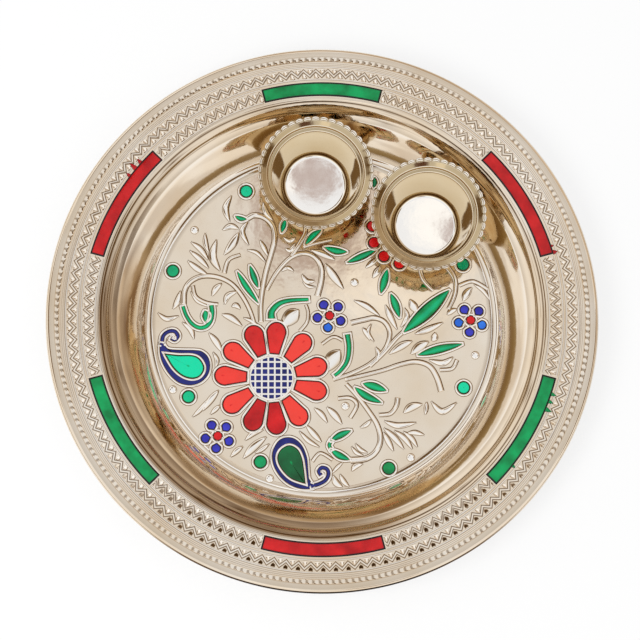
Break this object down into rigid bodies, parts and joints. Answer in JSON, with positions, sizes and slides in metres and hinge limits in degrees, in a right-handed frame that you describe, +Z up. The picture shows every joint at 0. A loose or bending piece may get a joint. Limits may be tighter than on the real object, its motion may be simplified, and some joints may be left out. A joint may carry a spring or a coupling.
{
  "type": "puja thali",
  "caption": "Round plated offering tray with an enamelled, embossed floor and rim, and small loose bowls with scalloped flanges standing in it for lamp, powder or offerings.",
  "frame": {"origin": "centre of the tray's underside, on the surface it stands on", "axes": "+Z up, the way the tray opens and the bowls lift out; +Y towards the side where the bowls stand; +X to the right as seen by somebody at the front (-Y) side"},
  "size_m": [0.2802, 0.2802, 0.0293],
  "materials": {
    "silver_plate": "polished",
    "gold_plate": "polished",
    "red_enamel": "gloss",
    "green_enamel": "gloss",
    "blue_enamel": "gloss",
    "light_blue_enamel": "gloss",
    "navy_enamel": "gloss"
  },
  "bodies": {
    "tray": {"tray": "silver_plate", "red_bar_right": "red_enamel", "red_bar_left": "red_enamel", "red_bar_front": "red_enamel", "green_bar_back": "green_enamel", "green_bar_left": "green_enamel", "green_bar_right": "green_enamel", "main_flower_petals": "red_enamel", "main_flower_checks": "navy_enamel", "small_flower_petals": "blue_enamel", "light_blue_petals": "light_blue_enamel", "small_flower_hearts": "red_enamel", "half_hidden_flower_petals": "red_enamel", "paisley_drops": "green_enamel", "paisley_borders": "navy_enamel", "green_leaves": "green_enamel", "green_dots": "green_enamel"},
    "left_bowl": {"left_bowl": "gold_plate"},
    "right_bowl": {"right_bowl": "gold_plate"}
  },
  "joints": [
    {"name": "left_bowl_lift", "type": "slide", "parent": "tray", "child": "left_bowl", "axis": [0, 0, 1], "range_m": [0, 0.06]},
    {"name": "right_bowl_lift", "type": "slide", "parent": "tray", "child": "right_bowl", "axis": [0, 0, 1], "range_m": [0, 0.06]}
  ]
}
